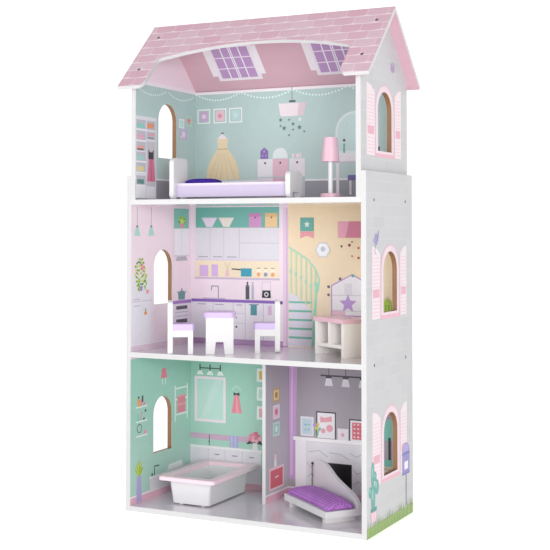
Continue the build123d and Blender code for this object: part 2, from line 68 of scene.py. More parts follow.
def soft_light(name, place, aim, size, watts):
    lamp = bpy.data.lights.new(name, "AREA")
    lamp.shape = "SQUARE"
    lamp.size = size
    lamp.energy = watts
    stand = bpy.data.objects.new(name, lamp)
    stand.location = place
    stand.rotation_euler = (Vector(aim) - Vector(place)).to_track_quat("-Z", "Y").to_euler()
    bpy.context.scene.collection.objects.link(stand)


soft_light("window_light", (2.4, -3.0, 0.9), (0, 0, 0.5), 1.5, 66)
soft_light("front_fill", (-1.4, -3.2, 1.3), (0, 0, 0.5), 2.2, 30)

world = bpy.data.worlds.new("studio")
world.use_nodes = True
world.node_tree.nodes["Background"].inputs["Color"].default_value = (1, 1, 1, 1)
world.node_tree.nodes["Background"].inputs["Strength"].default_value = 0.45
bpy.context.scene.world = world


# ---------------------------------------------------------------- boards of the house
# Fibreboard panels, wrapped in printed paper.  Edges are painted white, and the cut reveals of
# the windows are left as bare brown board.
def paint(code):
    """A paint chip such as "#E8C4D0" as linear colour."""
    parts = [int(code[at:at + 2], 16) / 255 for at in (1, 3, 5)]
    return tuple(((c + 0.055) / 1.055) ** 2.4 if c > 0.04045 else c / 12.92 for c in parts) + (1.0,)


class Wire:
    """A shader socket.  Arithmetic on wires adds Math nodes, and node() adds any other."""

    def __init__(self, tree, socket):
        self.tree = tree
        self.socket = socket

    def node(self, kind, settings, inputs, output=0):
        made = self.tree.nodes.new("ShaderNode" + kind)
        for name, value in settings.items():
            setattr(made, name, value)
        for key, value in inputs.items():
            if isinstance(value, Wire):
                self.tree.links.new(value.socket, made.inputs[key])
            else:
                made.inputs[key].default_value = value
        return Wire(self.tree, made.outputs[output])

    def maths(self, operation, first, *rest):
        return self.node("Math", {"operation": operation}, dict(enumerate((first, *rest))))

    def __add__(self, other):
        return self.maths("ADD", self, other)

    def __sub__(self, other):
        return self.maths("SUBTRACT", self, other)

    def __rsub__(self, other):
        return self.maths("SUBTRACT", other, self)

    def __mul__(self, other):
        return self.maths("MULTIPLY", self, other)

    def __truediv__(self, other):
        return self.maths("DIVIDE", self, other)

    def __mod__(self, other):
        return self.maths("FLOORED_MODULO", self, other)

    def __abs__(self):
        return self.maths("ABSOLUTE", self)

    def __lt__(self, other):
        return self.maths("LESS_THAN", self, other)

    def __gt__(self, other):
        return self.maths("GREATER_THAN", self, other)

    __radd__ = __add__
    __rmul__ = __mul__

    def mix(self, low, high):
        """Colour low where this wire is 0 and high where it is 1."""
        return self.node("Mix", {"data_type": "RGBA"}, {0: self, 6: low, 7: high}, 2)


class Finish:
    """A material under way: its Principled shader and the place that its patterns read."""

    def __init__(self, name, **constants):
        self.material = bpy.data.materials.new(name)
        self.material.use_nodes = True
        self.tree = self.material.node_tree
        self.shader = self.tree.nodes["Principled BSDF"]
        for socket, value in constants.items():
            self.shader.inputs[socket.replace("_", " ")].default_value = value
        self.place = Wire(self.tree, self.tree.nodes.new("ShaderNodeTexCoord").outputs["Object"])
        axes = self.place.node("SeparateXYZ", {}, {0: self.place}).socket.node
        self.x, self.y, self.z = (Wire(self.tree, socket) for socket in axes.outputs)

    def noise(self, scale, detail=3.0, place=None):
        return self.place.node("TexNoise", {}, {"Vector": place or self.place, "Scale": scale,
                                                "Detail": detail})

    def mottled(self, code, depth=0.05, scale=60.0):
        """A chip's colour with the faint cloudiness of a print or a coat of paint."""
        chip = paint(code)
        dark = tuple(c * (1 - depth) for c in chip[:3]) + (1.0,)
        light = tuple(min(1.0, c * (1 + depth)) for c in chip[:3]) + (1.0,)
        return self.noise(scale).mix(dark, light)

    def wear(self, colour, roughness=None, height=None, depth=0.0001):
        for socket, wire in (("Base Color", colour), ("Roughness", roughness)):
            if wire is not None:
                self.tree.links.new(wire.socket, self.shader.inputs[socket])
        if height is not None:
            bump = height.node("Bump", {}, {"Height": height, "Distance": depth, "Strength": 0.6})
            self.tree.links.new(bump.socket, self.shader.inputs["Normal"])
        return self.material


def dress(material, *names):
    for name in names:
        nodes[name].material_slots[0].material = material


SKIN = 0.0003               # tells a board's face from its edges
edge_white = "#D3D2D3"
house_low, house_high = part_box("lower_side_board_left")[0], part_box("lower_side_board_right")[1]
inner_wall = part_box("lower_side_board_right")[0].x
outer_wall = house_high.x
gable_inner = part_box("gable_wall_right")[0].x
gable_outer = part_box("gable_wall_right")[1].x
floor_top = [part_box(name)[1].z for name in ("base_floor", "middle_floor", "top_floor")]
window_half, window_sill, window_rise = 43, 107, 137    # millimetres, the sill over the floor
cornice = 1.026             # height of the top storey's cornice on the side walls
cornice_top = 1.036
back_cornice = 1.024
house_board, roof_board = 12 * MM, 9 * MM
pink_skirting, cream_skirting, grey_dado = ("#E9B9C8", 16), ("#F0E6DC", 14), ("#9A9AA2", 50)
back_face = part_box("back_panel_lower")[0].y
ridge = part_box("front_roof_panel")[1].z


def bare_board(finish):
    fibres = finish.noise(900.0, 4.0) * 0.4 + finish.noise(11.0, 5.0) * 0.6
    return fibres.mix(paint("#724C2E"), paint("#A2754C"))


def brickwork(finish):
    """Pale painted bricks, hardly darker than their joints."""
    flat = finish.place.node("CombineXYZ", {}, {0: finish.y, 1: finish.z})
    bricks = flat.node("TexBrick", {"offset": 0.5}, {
        "Vector": flat, "Color1": paint("#C4C4C6"), "Color2": paint("#BDBDC0"),
        "Mortar": paint("#CBCACB"), "Scale": 1.0, "Mortar Size": 0.0012, "Mortar Smooth": 0.8,
        "Brick Width": 0.07, "Row Height": 0.026})
    cloud = finish.noise(14.0)
    return (cloud * 0.5).mix(bricks_colour(bricks), paint("#CCCCCD"))


def bricks_colour(bricks):
    return Wire(bricks.tree, bricks.socket.node.outputs["Color"])


def skirted(finish, wall, floor, skirting, height):
    """Wallpaper above a skirting board with a white line on top. The paper is paler near the floor:
    painted light bounced up from the floor.
    """
    up = finish.z - floor
    # Painted light: pale is the paper's tone as if lit from the floor, mixed in towards the floor.
    pale = tuple(0.45 + 0.55 * c for c in paint(wall)[:3]) + (1.0,)
    floor_bounce_light = 0.5 - up * 1.4
    plain = floor_bounce_light.maths("MAXIMUM", floor_bounce_light, 0.0).mix(finish.mottled(wall), pale)
    trimmed = (up < (height + 4) * MM).mix(plain, paint("#F3EFF3"))
    return (up < height * MM).mix(trimmed, paint(skirting))


def printed_paper(name):
    return Finish(name, Roughness=0.42, Coat_Weight=0.15, Coat_Roughness=0.3)


def papered(finish, colour):
    """The finished material of a papered board."""
    return finish.wear(colour, 0.36 + finish.noise(220.0) * 0.14, finish.noise(1400.0), 0.00004)


def wall_finish(name, inside, outside, wall, storey, skirting, height, upper=None):
    """A side board: paper inside, brick outside, bare reveals and white edges.
    upper is the paper of the slope's corner, above the top storey's cornice."""
    finish = printed_paper(name)
    floor = floor_top[storey]
    paper = skirted(finish, wall, floor, skirting, height)
    if upper:
        paper = (finish.z > cornice).mix(paper, paint("#EFE7EE"))
        paper = (finish.z > cornice_top).mix(paper, paint(upper))
    across = abs(finish.x)
    in_jambs = abs(finish.y) < window_half * MM + SKIN
    above_sill = finish.z > floor + window_sill * MM - SKIN
    below_head = finish.z < floor + (window_sill + window_rise) * MM + SKIN
    reveal = in_jambs * above_sill * below_head
    colour = reveal.mix(finish.mottled(edge_white, 0.02), bare_board(finish))
    colour = (across < inside + SKIN).mix(colour, paper)
    colour = (across > outside - SKIN).mix(colour, brickwork(finish))
    return papered(finish, colour)


mint, grey_wall = "#99CCBA", "#ABA5AE"
pink_wall, yellow_wall, teal_wall = "#EEDCE8", "#EBD6B2", "#ABC8C4"
side_looks = (
    ("lower_side_board_left", inner_wall, outer_wall, mint, 0, *pink_skirting, None),
    ("lower_side_board_right", inner_wall, outer_wall, grey_wall, 0, *pink_skirting, None),
    ("middle_side_board_left", inner_wall, outer_wall, pink_wall, 1, "#E6D3E2", 14, None),
    ("middle_side_board_right", inner_wall, outer_wall, yellow_wall, 1, *cream_skirting, None),
    ("parapet_board_left", inner_wall, outer_wall, pink_wall, 1, "#E6D3E2", 14, None),
    ("parapet_board_right", inner_wall, outer_wall, yellow_wall, 1, *cream_skirting, None),
    ("gable_wall_left", gable_inner, gable_outer, teal_wall, 2, *grey_dado, "#F0DDE6"),
    ("gable_wall_right", gable_inner, gable_outer, teal_wall, 2, *grey_dado, "#F0DDE6"),
)
for node, *look in side_looks:
    dress(wall_finish(node + "_paper", *look), node)

partition_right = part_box("partition_wall")[1].x
partition_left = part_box("partition_wall")[0].x


def back_finish(name, storey, skirtings, left, right, cornice=None):
    """A back panel: paper in front, split at the partition's line, bare board behind."""
    finish = printed_paper(name)
    halves = [skirted(finish, wall, floor_top[storey], trim, height)
              for wall, (trim, height) in zip((left, right), skirtings)]
    paper = (finish.x > partition_right).mix(halves[0], halves[1])
    if cornice:
        paper = (finish.z > back_cornice).mix(paper, paint(cornice))
    colour = (finish.y < back_face + SKIN).mix(bare_board(finish), paper)
    return papered(finish, colour)


# The sitting room's half of the lower back wall is a darker copy of the grey paper on the partition
# and side wall: painted shade, as the right side board shades the back wall.
dress(back_finish("lower_back_paper", 0, (pink_skirting, pink_skirting), mint, "#978F9A"),
      "back_panel_lower")
dress(back_finish("middle_back_paper", 1, (("#9A6AA6", 13), cream_skirting), pink_wall,
                  yellow_wall), "back_panel_middle")
dress(back_finish("upper_back_paper", 2, (grey_dado, grey_dado), teal_wall, teal_wall,
                  "#EFEAEE"), "back_panel_upper")


def floor_finish(name, top, planks, ceiling):
    """A glossy grey printed floor; the underside is the ceiling of the room below."""
    finish = Finish(name, Coat_Weight=0.5, Coat_Roughness=0.12)
    stripe = finish.place.node("Mapping", {}, {"Vector": finish.place, "Scale": (9, 70, 9)})
    board_tone = finish.noise(3.0, 5.0, stripe).mix(paint(planks), paint("#E6E1E8"))
    colour = (finish.z > top - SKIN).mix(finish.mottled(edge_white, 0.02), board_tone)
    colour = (finish.z < top - house_board + SKIN).mix(colour, paint(ceiling))
    colour = (finish.y < house_low.y + SKIN).mix(colour, paint(edge_white))
    return finish.wear(colour, 0.13 + finish.noise(90.0) * 0.09, finish.noise(700.0), 0.00003)


for storey, (node, tone) in enumerate((("base_floor", "#DFDAE3"), ("middle_floor", "#D9D0DC"),
                                       ("top_floor", "#C4C2C8"))):
    dress(floor_finish(node + "_print", floor_top[storey], tone, "#EDE7EC"), node)

partition = printed_paper("partition_paper")
partition_colour = (partition.x > partition_right - SKIN).mix(
    partition.mottled(edge_white, 0.02),
    skirted(partition, grey_wall, floor_top[0], *pink_skirting))
partition_colour = (partition.x < partition_left + SKIN).mix(
    partition_colour, skirted(partition, mint, floor_top[0], *pink_skirting))
partition_colour = (partition.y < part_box("partition_wall")[0].y + SKIN).mix(
    partition_colour, paint(edge_white))
dress(papered(partition, partition_colour), "partition_wall")

# ---------------------------------------------------------------- roof
# Two boards printed outside with pink scalloped shingles in courses of 30 mm, and inside with
# plain pink.  Their edges, with the arch's, are painted white.
course_height = 30 * MM
shingle_width = 52 * MM


def roof_finish(name):
    finish = Finish(name, Roughness=0.5, Coat_Weight=0.1, Coat_Roughness=0.4)
    drop = abs(finish.y) * sqrt(2) / course_height
    course = drop.maths("FLOOR", drop)
    down = drop - course
    along = finish.x / shingle_width + course * 0.5
    tile = along.maths("FLOOR", along)
    from_middle = abs(along - tile - 0.5)
    tile_key = finish.place.node("CombineXYZ", {}, {0: tile, 1: course})
    chance = tile_key.node("TexWhiteNoise", {}, {"Vector": tile_key})
    streak_place = finish.place.node("Mapping", {}, {"Vector": finish.place,
                                                     "Scale": (30, 120, 120)})
    streak = finish.noise(1.0, 4.0, streak_place)
    tone = chance.mix(paint("#E3B5C6"), paint("#E7CBD6"))
    tone = (streak * 0.35).mix(tone, paint("#D3A8B8"))
    scallop = 0.93 - from_middle * from_middle * 0.55
    course_joint = (down > scallop) * 0.85
    joint = course_joint.maths("MAXIMUM", course_joint, (from_middle > 0.475) * 0.4)
    shingles = joint.mix(tone, paint("#F8E8EF"))
    height_over = finish.z + abs(finish.y)
    under = paint("#D2A7B5")
    colour = (height_over > ridge - SKIN).mix(finish.mottled(edge_white, 0.02), shingles)
    lining = finish.noise(9.0).mix(under, paint("#DAB4C0"))
    colour = (height_over < ridge - roof_board * sqrt(2) + SKIN).mix(colour, lining)
    return finish.wear(colour, None, (down * 0.6 + streak * 0.1 - joint * 0.5), 0.0005)


dress(roof_finish("roof_print"), "front_roof_panel", "rear_roof_panel")

# ---------------------------------------------------------------- screws and dowels
# Countersunk wood screws in dull plated steel with a dark hexagonal recess, and beech dowels.
steel = Finish("screw_steel_finish", Metallic=1.0)
dress(steel.wear(steel.noise(900.0).mix(paint("#6B6263"), paint("#A39B9B")),
                 0.3 + steel.noise(600.0) * 0.3, steel.noise(2500.0), 0.00005),
      "roof_screws", "floor_screws", "gable_screws", "partition_screws", "back_panel_screws")
beech = Finish("dowel_finish", Roughness=0.6)
grain_place = beech.place.node("Mapping", {}, {"Vector": beech.place, "Scale": (900, 900, 60)})
beech_grain = beech.noise(1.0, 4.0, grain_place)
dress(beech.wear(beech_grain.mix(paint("#C79E6B"), paint("#DDBB8B")), None, beech_grain, 0.0001),
      "side_board_dowels")


# ---------------------------------------------------------------- prints on the boards
# The rooms' cupboards, pictures and plants are ink on the wallpaper.  Each patch of ink is a
# film a tenth of a millimetre thick, and one wall's films are joined into one piece.
def panes(bottom, top, *spans):
    return [(left, bottom, right, top) for left, right in spans]


def rim(left, bottom, right, top, width):
    """The two outlines of an empty frame."""
    return [(left, bottom, right, top),
            (left + width, bottom + width, right - width, top - width)]


def disc(across, up, radius, squash=1.0, sides=18):
    return [(across + radius * cos(tau * i / sides), up + squash * radius * sin(tau * i / sides))
            for i in range(sides)]


def star(across, up, radius, points=5, waist=0.45):
    outline = []
    for i in range(2 * points):
        reach = radius if i % 2 == 0 else radius * waist
        turn = pi / 2 + pi * i / points
        outline.append((across + reach * cos(turn), up + reach * sin(turn)))
    return outline


def arched(middle, bottom, half, springing, sides=14):
    """Straight sides under a half-round head."""
    head = [(middle + half * cos(pi * i / sides), springing + half * sin(pi * i / sides))
            for i in range(sides + 1)]
    return [(middle - half, bottom), (middle + half, bottom)] + head


def stroke(start, end, width):
    """A straight line of some width."""
    run, rise = end[0] - start[0], end[1] - start[1]
    side = width / 2 / hypot(run, rise)
    offset = (-rise * side, run * side)
    return [(start[0] - offset[0], start[1] - offset[1]), (end[0] - offset[0], end[1] - offset[1]),
            (end[0] + offset[0], end[1] + offset[1]), (start[0] + offset[0], start[1] + offset[1])]


def taper(middle, bottom, low_half, top, high_half):
    return [(middle - low_half, bottom), (middle + low_half, bottom), (middle + high_half, top),
            (middle - high_half, top)]


ink_finish = printed_paper("printed_ink")
ink_tint = ink_finish.place.node("Attribute", {"attribute_name": "ink"}, {})
ink_cloud = ink_finish.noise(150.0, 4.0)
ink_soft = ink_finish.place.node(
    "Mix", {"data_type": "RGBA", "blend_type": "MULTIPLY"},
    {0: 1.0, 6: ink_tint, 7: ink_cloud.mix((0.93, 0.93, 0.93, 1), (1.05, 1.05, 1.05, 1))}, 2)
ink_material = ink_finish.wear(ink_soft, 0.36 + ink_cloud * 0.14, ink_finish.noise(1400.0), 0.00004)

FILM = 0.105 * MM
FILM_STEP = 0.01 * MM
sheet = []                  # the films of the wall being printed


def ink(code, *outlines):
    """One film of ink.  An outline inside another of the same film is a hole.
    It is a list of points, or the left, bottom, right and top of an upright oblong."""
    flat = bpy.data.curves.new("film", "CURVE")
    flat.dimensions = "2D"
    flat.fill_mode = "BOTH"
    flat.extrude = FILM / 2
    for outline in outlines:
        if isinstance(outline, tuple):
            left, bottom, right, top = outline
            outline = [(left, bottom), (right, bottom), (right, top), (left, top)]
        line = flat.splines.new("POLY")
        line.points.add(len(outline) - 1)
        for point, (across, up) in zip(line.points, outline):
            point.co = (across * MM, up * MM, 0, 1)
        line.use_cyclic_u = True
    film = bpy.data.objects.new("film", flat)
    film.location.z = FILM / 2 + FILM_STEP * (1 + len(sheet))
    bpy.context.scene.collection.objects.link(film)
    sheet.append((film, paint(code)))


def draw(code, width, *points):
    """A line through the points, one film for each straight part."""
    for start, end in zip(points, points[1:]):
        ink(code, stroke(start, end, width))


def paste(name, corner, across, up):
    """Joins the films into one piece and lays it on the wall at corner."""
    bpy.ops.object.select_all(action="DESELECT")
    for film, _ in sheet:
        film.select_set(True)
    bpy.context.view_layer.objects.active = sheet[0][0]
    bpy.ops.object.convert(target="MESH")
    for film, colour in sheet:
        tint = film.data.color_attributes.new("ink", "FLOAT_COLOR", "POINT")
        tint.data.foreach_set("color", list(colour) * len(film.data.vertices))
    bpy.ops.object.transform_apply(location=True, rotation=False, scale=False)
    bpy.ops.object.join()
    piece = bpy.context.view_layer.objects.active
    bpy.ops.object.mode_set(mode="EDIT")
    bpy.ops.mesh.select_all(action="SELECT")
    bpy.ops.mesh.remove_doubles(threshold=2e-6)
    bpy.ops.mesh.normals_make_consistent(inside=False)
    bpy.ops.object.mode_set(mode="OBJECT")
    out = Vector(across).cross(Vector(up))
    turn = Matrix((across, up, out)).transposed().to_4x4()
    piece.data.transform(Matrix.Translation(corner) @ turn)
    piece.name = name
    piece.data.materials.clear()
    piece.data.materials.append(ink_material)
    piece.select_set(False)
    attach(piece, "house")
    sheet.clear()


RIGHT, BACK, FRONT, UP = (1, 0, 0), (0, 1, 0), (0, -1, 0), (0, 0, 1)

# ---------------------------------------------------------------- bedroom, back wall
# A string of lights, three pictures, a drum lamp over a mobile of stars, a gown on its stand,
# a chest of drawers and a dressing table.
def string_of_lights(start, end, height, dip, count):
    """Beads on one slack stretch of thread."""
    beads = []
    for i in range(count):
        share = (i + 0.5) / count
        sag = dip * (1 - (2 * share - 1) ** 2)
        beads.append(disc(start + (end - start) * share, height - sag, 2.7, 1.0, 8))
    return beads


for start in (-284, -152, -5, 150):
    end = start + (132 if start < -200 else 150 if start < 100 else 134)
    ink("#DDF0EA", *string_of_lights(start, end, 1026, 18, 17))
for left, middle, inner in ((-279, "#CDB3D3", "#EBDCEB"), (-231, "#EBC6D2", "#D79AB0"),
                            (-185, "#BCDCD8", "#CBE6E2")):
    ink("#F1F6F6", *rim(left, 948, left + 38, 986, 3))
    ink(middle, (left + 7, 954, left + 31, 980))
    ink(inner, disc(left + 19, 967, 6))
ink("#5E6A6A", stroke((-5, 998), (-5, 1031), 1.6))
ink("#46524F", (-13, 993, 5, 998))
ink("#EFE2E8", [(-43, 991), (35, 991), (27, 958), (-37, 958)])
ink("#DDC9D2", [(14, 991), (35, 991), (27, 958), (10, 958)])
for across, up, radius in ((-37, 949, 6), (-13, 949, 4), (-2, 938, 6), (-37, 934, 4), (-27, 928, 7),
                           (-2, 924, 4), (16, 929, 7), (29, 918, 4), (-13, 910, 4)):
    ink("#5B7573", star(across, up, radius))
ink("#E6F1EF", star(17, 949, 6))
gown_middle = -204
ink("#3F3A3E", stroke((gown_middle - 5, 922), (gown_middle + 4, 922), 2.5))
ink("#EFE4EA", [(-221, 905), (-190, 905), (-196, 914), (-205, 919), (-213, 914)])
ink("#EAD7B2", [(-220, 907), (-188, 907), (-190, 882), (-176, 866), (-163, 846), (-156, 820),
                (-154, 801), (-252, 801), (-250, 824), (-243, 846), (-229, 868), (-218, 882)])
ink("#D2BC94", (-219, 878, -190, 882))
for fold in (-40, -22, -6, 14, 34):
    ink("#DEC9A0", [(gown_middle + fold * 0.3, 870), (gown_middle + fold * 0.3 + 2, 870),
                    (gown_middle + fold + 3, 803), (gown_middle + fold, 803)])
ink("#8767B0", [(-94, 852), (-72, 852), (-72, 872), (-83, 881), (-94, 872)])
ink("#B49AD6", star(-83, 871, 5), star(-88, 860, 4), star(-78, 860, 4))
ink("#E6F0EF", arched(-38, 852, 21, 858))
# The lower row of drawers is printed darker, its right drawer grey: painted shade from the bed in
# front of it.
for left, chip, shaded_low_chip in ((-102, "#ECE8EE", "#E3DAE4"), (-59, "#E8BCCB", "#DDB0C4"),
                             (-12, "#E9E2EA", "#BFC4CA")):
    ink(chip, (left, 806, left + 43, 851))
    ink(shaded_low_chip, (left, 755, left + 43, 803))
    ink("#4A4A52", disc(left + 21.5, 841, 3, sides=10), disc(left + 21.5, 791, 2.4, sides=10))
ink("#F1DCE4", (-5, 852, 1, 863), disc(11, 858, 5.6), (17.4, 852, 21, 866))
ink("#DCE9E9", arched(166, 858, 52, 912))
ink("#C6DEDC", arched(166, 866, 46, 912))
ink("#EEE9EF", (112, 840, 262, 860))
ink("#D9C7D8", (112, 836, 262, 839))
ink("#EEE9EF", (116, 760, 124, 836), (250, 760, 258, 836))
ink("#6FA79C", (135, 861, 140, 884))
ink("#3C3A40", disc(137.5, 892, 3.5), (226, 861, 231, 874))
ink("#6A5CA6", (147, 793, 190, 806))
ink("#E7E4EA", (151, 758, 157, 793), (180, 758, 186, 793))
paste("bedroom_back_print", (0, back_face, 0), RIGHT, UP)

# ---------------------------------------------------------------- bedroom, left wall
# A tall shelf of shoes and boxes beside a hanging dress, three small pictures, and the lights.
ink("#DDF0EA", *string_of_lights(-140, -5, 1018, 14, 14), *string_of_lights(2, 132, 1018, 14, 14))
ink("#E4E4EC", (-146, 748, -53, 948))
for up, chip in ((920, "#8FD0C4"), (893, "#E6AFC4"), (866, "#E9A9A0"), (842, "#A5D6CE"),
                 (815, "#EBD79C"), (784, "#5F8F8C")):
    ink("#C4C2CE", (-144, up - 3, -102, up + 19))
    ink(chip, (-140, up - 1, -110, up + 10))
    ink("#F4F2F6", (-146, up - 6, -101, up - 3))
ink("#3E3C46", stroke((-140, 867), (-112, 867), 3))
ink("#C4C2CE", (-98, 917, -58, 939), (-98, 893, -58, 912))
ink("#E6996C", (-95, 921, -66, 933))
ink("#E9A3AE", (-92, 903, -64, 908))
ink("#4A4650", (-92, 896, -66, 898))
ink("#CFCBD4", (-98, 778, -58, 888))
ink("#34323C", [(-90, 845), (-66, 845), (-66, 870), (-72, 862), (-84, 862), (-90, 870)])
ink("#DB7599", [(-88, 845), (-66, 845), (-61, 815), (-58, 790), (-95, 790), (-92, 815)])
ink("#C25E86", [(-80, 845), (-77, 845), (-74, 792), (-79, 792)])
ink("#EDECF2", (-144, 750, -57, 778))
ink("#D3CFD9", (-101, 750, -99, 778))
ink("#F1F4F4", *rim(55, 932, 82, 956, 3))
ink("#C9E8E2", (58, 935, 79, 953))
ink("#BFE3C8", *rim(92, 940, 120, 967, 3))
ink("#E98F96", [(96, 955), (100, 960), (106, 957), (112, 960), (116, 955), (106, 944)])
ink("#CDBDDB", (58, 904, 98, 931))
ink("#E9E0EF", disc(79, 917, 8), (64, 907, 71, 913))
paste("bedroom_left_print", (-gable_inner, 0, 0), BACK, UP)

# ---------------------------------------------------------------- bedroom, inside of the roof
# Two printed roof windows with white frames, glazing bars and curtains at their sides.
for frame_left, frame_right in ((-200, -76), (76, 200)):
    ink("#EFE6EE", (frame_left, 72, frame_right, 180))
    ink("#BD97C6", (frame_left + 11, 80, frame_right - 11, 176))
    glass = frame_right - frame_left - 22
    ink("#F6EEF8", *[(frame_left + 11 + glass * share - width / 2, 80,
                          frame_left + 11 + glass * share + width / 2, 176)
                     for share, width in ((0.25, 3.4), (0.5, 8), (0.75, 3.4))])
    centre = (frame_left + frame_right) / 2
    ink("#B394C4", (centre - 1, 80, centre + 1, 176))
    ink("#F1E4F3", *[(frame_left + 11, up, frame_right - 11, up + 3) for up in (109, 143)])
    for outer, inner in ((frame_left - 14, frame_left + 4), (frame_right - 4, frame_right + 14)):
        ink("#F4EBF1", (outer, 88, inner, 178))
ink("#F2EAF0", (-286, 29, 286, 40.5))
# The thin darker pink line over the white band is a painted shadow line.
ink("#CF9FB0", (-286, 40.6, 286, 42.6))
rear_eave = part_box("rear_roof_panel")[1].y
paste("roof_lining_print", (0, rear_eave, ridge - roof_board * sqrt(2) - rear_eave),
      RIGHT, (0, -sqrt(0.5), sqrt(0.5)))

# ---------------------------------------------------------------- kitchen, back wall
# Fitted white cupboards over a purple worktop, an open shelf, and a mint spiral stair on the
# yellow wall beside them.
ink("#6DB3A7", (-284, 677, -41, 730))
for middle, chip in ((-243, "#E6DAEA"), (-193, "#E9E3D8")):
    ink(chip, [(middle - 23, 703), (middle + 23, 703), (middle + 15, 690), (middle + 9, 679),
               (middle - 9, 679), (middle - 15, 690)])
for left, chip, lid in ((-127, "#CF94C6", "#BF80B4"), (-81, "#EBCB96", "#D9B67C")):
    ink(chip, (left, 678, left + 35, 714))
    ink(lid, (left, 705, left + 35, 714))
    ink("#5B4A5E", disc(left + 18, 703, 2.4, sides=10))
ink("#DDDCE3", (-284, 597, -41, 676))
ink("#C2BFCC", *panes(597, 676, (-241.6, -240.2), (-200.8, -199.4), (-155.6, -154)))
ink("#C2BFCC", (-153, 637, -42, 638.6))
ink("#A6A3B2", *panes(600.5, 603, (-275, -247), (-232, -205), (-190, -163)))
ink("#DCD3E2", (-284, 592, -41, 597))
ink("#F0E2C4", (-284, 549, -41, 592))
ink("#CDBAD6", (-286, 544, -39, 549))
ink("#D5B4E4", (-272, 551, -246, 580), (-236, 551, -217, 582))
ink("#EAC0CE", [(-197, 552), (-183, 552), (-186, 566), (-188, 572), (-191, 572), (-193, 566)])
ink("#C9B89A", stroke((-189, 572), (-196, 588), 1.4), stroke((-188, 572), (-182, 588), 1.4))
ink("#38424A", stroke((-177, 571), (-150, 569.5), 3.4))
ink("#2E9BB4", (-150, 552, -119, 573))
for middle, chip in ((-99, "#E8A76C"), (-79, "#8E93B8"), (-59, "#E8A76C")):
    ink("#F6EBD6", (middle - 6, 553, middle + 6, 572))
    ink(chip, disc(middle, 558, 5.5))
    ink("#A79D92", (middle - 5, 572.5, middle + 5, 575))
draw("#7B7A8C", 2.2, (-216, 493), (-216, 526), (-236, 526), (-236, 515))
ink("#B9B3C6", (-262, 493, -196, 495.5))
for middle, chip in ((-131, "#4B4C5C"), (-116, "#B9BAC8")):
    half = 5.4 if middle < -120 else 3.6
    ink(chip, (middle - half, 494, middle + half, 527), taper(middle, 527.3, half, 532, 2.2),
        (middle - 2.2, 532.3, middle + 2.2, 539))
ink("#C9C6D4", *rim(-90, 499, -64, 540, 1.5))
ink("#26242C", [(-88, 518), (-66, 518), (-64, 499), (-90, 499)])
ink("#E8E4EC", disc(-77, 508, 6))
ink("#26242C", disc(-77, 508, 3.6))
ink("#8C66BC", (-296, 485, -31, 492.5))
ink("#E9E6EF", (-292, 392, -33, 484.5))
ink("#C6C1D2", *panes(392, 484.5, (-173, -171.4), (-138, -136.4), (-86, -84.4), (-232, -230.4)))
ink("#C6C1D2", (-171, 457, -138.5, 458.4), (-171, 432, -138.5, 433.4))
ink("#9E9AAC", *panes(478, 480, (-226, -200), (-276, -252), (-163, -146)))
ink("#3A3840", disc(-163, 423, 2.8), disc(-163, 446, 1.8))
ink("#8C8A9E", (-127, 480, -98, 482.4))
ink("#4F93A0", (-122, 454, -104, 481))
ink("#DDBBDD", (-72, 456, -62, 480))
ink("#B592BF", (-298, 378.5, -30, 391.5))
ink("#E3CBE2", (-30, 379, -16.5, 728))
ink("#D6BAD6", (-22, 379, -16.5, 728))
ink("#5B4A6E", disc(-35, 487, 3.6))

stair_mint = "#9ADBC3"
ink("#DFDCE9", [(-14, 514), (4, 509), (50, 470), (50, 381), (-14, 381)])
for up in (488, 466, 444, 422, 400):
    ink("#6FBBA6", (-14, up, 50, up + 5))
ink(stair_mint, [(48, 382), (56, 382), (60, 440), (64, 510), (66, 540), (60, 540), (57, 500),
                 (53, 450)])
draw(stair_mint, 3.4, (-14, 628), (10, 614), (40, 596), (60, 574), (70, 548), (66, 520))
for across, foot, head in ((-9, 512, 624), (5, 506, 616), (19, 496, 608), (33, 486, 599),
                           (46, 476, 589), (58, 500, 575)):
    ink("#C9E3BC", stroke((across, foot), (across, head), 2.6))
    ink("#A6DCC4", stroke((across + 3.2, foot), (across + 3.2, head), 1.1))
    ink("#A6DCC4", disc(across, (foot + head) / 2, 2.8, 2.0, 10))
ink("#5FA79E", (18, 668, 55, 702))
ink("#E59AA6", [(18, 667), (55, 667), (55, 650), (36.5, 657), (18, 650)])
ink("#CFE4D4", star(36.5, 685, 9))
ink("#C9CDD6", disc(80, 622, 21, 1.0, 6))
ink("#EDF0F4", disc(80, 622, 18, 1.0, 6))
ink("#B9C4D2", disc(80, 624, 7, 1.0, 6))
ink("#CE7794", [(120, 692), (216, 692), (208, 652), (121, 652)])
ink("#E2A0B6", [(120, 692), (150, 692), (141, 652), (121, 652)])
for across, up, radius, chip in ((130, 631, 3, "#5B5A5E"), (151, 634, 4, "#8F3D48"),
                                 (158, 642, 2.4, "#6B4C50"), (175, 627, 3, "#C94F4A"),
                                 (158, 607, 3, "#D48A70"), (175, 603, 3.4, "#B4474E"),
                                 (196, 636, 3, "#6B4C50"), (204, 612, 3.4, "#C94F4A")):
    ink(chip, disc(across, up, radius, sides=8))
ink("#B78FCB", [(102, 459), (214, 459), (214, 535), (158, 563), (102, 535)])
ink("#EBEAF1", [(105, 462), (211, 462), (211, 533), (158, 560), (105, 533)])
ink("#C2BFCE", (105, 510, 211, 511.6), (105, 472, 211, 473.6))
ink("#DDDCE6", (138, 511.8, 158, 540))
ink("#BC97DA", star(147, 490, 24))
ink("#E7BFCF", (105, 462, 140, 472), (196, 462, 211, 472))
for across, up in ((95, 531), (95, 511), (126, 551), (190, 551), (221, 531), (221, 511)):
    ink("#64595F", disc(across, up, 3.6, sides=10))
ink("#57A8A8", disc(160, 559, 4, sides=10))
